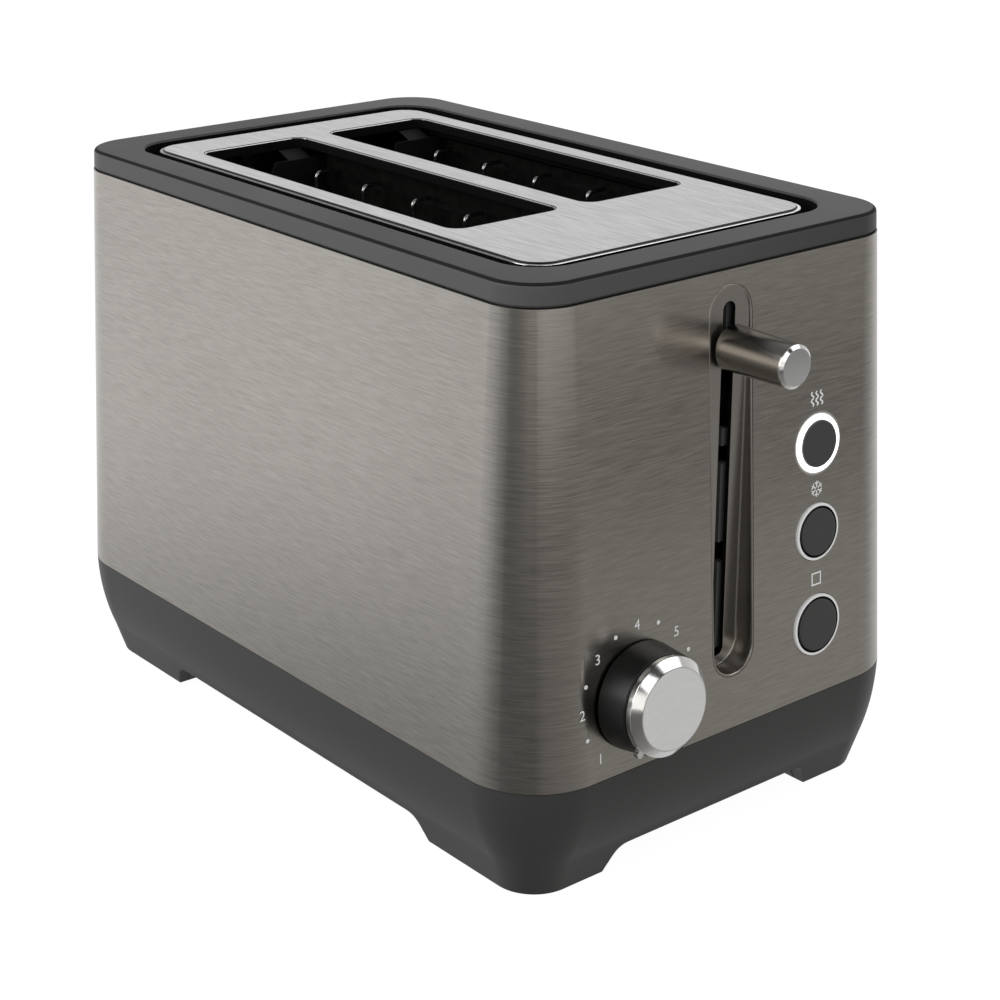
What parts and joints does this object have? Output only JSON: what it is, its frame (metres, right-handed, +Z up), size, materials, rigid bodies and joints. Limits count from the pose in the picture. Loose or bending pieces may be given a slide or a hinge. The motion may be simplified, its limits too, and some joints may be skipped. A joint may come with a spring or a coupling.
{
  "type": "two-slice toaster",
  "caption": "Upright toaster with tapered brushed steel body, dark rim and base, side-by-side bread slots, a lever that lowers the racks, browning knob, lit push buttons and a crumb tray.",
  "frame": {"origin": "middle of the toaster's footprint on the counter, lever and cord entry counted", "axes": "+Z up, -Y towards the end with the lever and buttons, +X to the right seen from that end"},
  "size_m": [0.1766, 0.2994, 0.201],
  "materials": {
    "shell_steel": "fine brushed taupe steel",
    "plate_steel": "light brushed steel",
    "dark_plastic": "fine matte dark grey moulding",
    "inner_plastic": "matte dark moulding",
    "pad_rubber": "matte rubber",
    "dark_steel": "dark heat-proof sheet steel",
    "plated_steel": "plated sheet steel",
    "guard_wire": "bright wire",
    "mica": "dark mica sheet",
    "heating_ribbon": "dark resistance ribbon",
    "bronze_lever": "brushed bronze brown",
    "bright_cap": "satin bright metal",
    "knob_plastic": "near black moulding",
    "knob_metal": "turned steel",
    "button_plastic": "smooth dark button",
    "light_ring": "milky light guide",
    "board": "coated board",
    "coil": "wound copper",
    "tray_steel": "coated sheet"
  },
  "bodies": {
    "housing": {"base": "dark_plastic", "foot_pads": "pad_rubber", "base_screws": "plated_steel", "outer_shell": "shell_steel", "top_rim": "dark_plastic", "top_plate": "plate_steel", "front_chassis_plate": "dark_steel", "rear_chassis_plate": "dark_steel", "left_heat_shield": "dark_steel", "right_heat_shield": "dark_steel", "left_heater_card": "mica", "center_heater_card": "mica", "right_heater_card": "mica", "left_heating_ribbons": "heating_ribbon", "center_heating_ribbons": "heating_ribbon", "right_heating_ribbons": "heating_ribbon", "guide_rod": "plated_steel", "lift_spring": "plated_steel", "latch_magnet": "coil", "contact_block": "inner_plastic", "lever_guide": "shell_steel", "browning_control": "knob_metal", "reheat_ring": "light_ring", "defrost_ring": "light_ring", "stop_ring": "light_ring", "control_frame": "inner_plastic", "control_board": "board", "button_switches": "board", "board_screws": "plated_steel", "cord_gland": "inner_plastic", "terminal_block": "inner_plastic"},
    "carriage": {"left_bread_rack": "plated_steel", "right_bread_rack": "plated_steel", "carriage_bracket": "plated_steel", "carriage_bushing": "knob_plastic", "armature_plate": "plated_steel", "lever_arm": "plated_steel", "lever_handle": "bronze_lever", "lever_cap": "bright_cap"},
    "left_outer_guard": {"left_slot_outer_cage": "guard_wire"},
    "left_inner_guard": {"left_slot_inner_cage": "guard_wire"},
    "right_inner_guard": {"right_slot_inner_cage": "guard_wire"},
    "right_outer_guard": {"right_slot_outer_cage": "guard_wire"},
    "browning_knob": {"knob_body": "knob_plastic", "knob_collar": "bright_cap", "knob_cap": "bright_cap", "knob_shaft": "knob_metal"},
    "reheat": {"reheat_button": "button_plastic"},
    "defrost": {"defrost_button": "button_plastic"},
    "stop": {"stop_button": "button_plastic"},
    "tray": {"crumb_tray": "tray_steel"}
  },
  "joints": [
    {"name": "lever_slide", "type": "slide", "parent": "housing", "child": "carriage", "axis": [0, 0, 1], "range_m": [-0.098, 0.006], "stiffness_N_per_m": 60, "springref_m": 0.02, "deforming": ["lift_spring"]},
    {"name": "left_outer_guard_hinge", "type": "hinge", "parent": "housing", "child": "left_outer_guard", "pos_m": [-0.04665, 0.02515, 0.068], "axis": [0, 1, 0], "range_deg": [-0.5, 4]},
    {"name": "left_inner_guard_hinge", "type": "hinge", "parent": "housing", "child": "left_inner_guard", "pos_m": [-0.00925, 0.02515, 0.068], "axis": [0, 1, 0], "range_deg": [-4, 0.5]},
    {"name": "right_inner_guard_hinge", "type": "hinge", "parent": "housing", "child": "right_inner_guard", "pos_m": [0.00925, 0.02515, 0.068], "axis": [0, 1, 0], "range_deg": [-0.5, 4]},
    {"name": "right_outer_guard_hinge", "type": "hinge", "parent": "housing", "child": "right_outer_guard", "pos_m": [0.04665, 0.02515, 0.068], "axis": [0, 1, 0], "range_deg": [-4, 0.5]},
    {"name": "knob_turn", "type": "hinge", "parent": "housing", "child": "browning_knob", "pos_m": [-0.0405, -0.12827, 0.0652], "axis": [0, 0.9981, -0.0619], "range_deg": [0, 270]},
    {"name": "reheat_press", "type": "slide", "parent": "housing", "child": "reheat", "axis": [0, 0.9981, -0.0619], "range_m": [0, 0.0018], "stiffness_N_per_m": 300, "springref_m": -0.001},
    {"name": "defrost_press", "type": "slide", "parent": "housing", "child": "defrost", "axis": [0, 0.9981, -0.0619], "range_m": [0, 0.0018], "stiffness_N_per_m": 300, "springref_m": -0.001},
    {"name": "stop_press", "type": "slide", "parent": "housing", "child": "stop", "axis": [0, 0.9981, -0.0619], "range_m": [0, 0.0018], "stiffness_N_per_m": 300, "springref_m": -0.001},
    {"name": "tray_slide", "type": "slide", "parent": "housing", "child": "tray", "axis": [0, 1, 0], "range_m": [0, 0.185]}
  ],
  "couplings": [
    {"joint": "left_outer_guard_hinge", "follows": "lever_slide", "rad_per_m": -0.6},
    {"joint": "left_inner_guard_hinge", "follows": "lever_slide", "rad_per_m": 0.6},
    {"joint": "right_inner_guard_hinge", "follows": "lever_slide", "rad_per_m": -0.6},
    {"joint": "right_outer_guard_hinge", "follows": "lever_slide", "rad_per_m": 0.6}
  ]
}
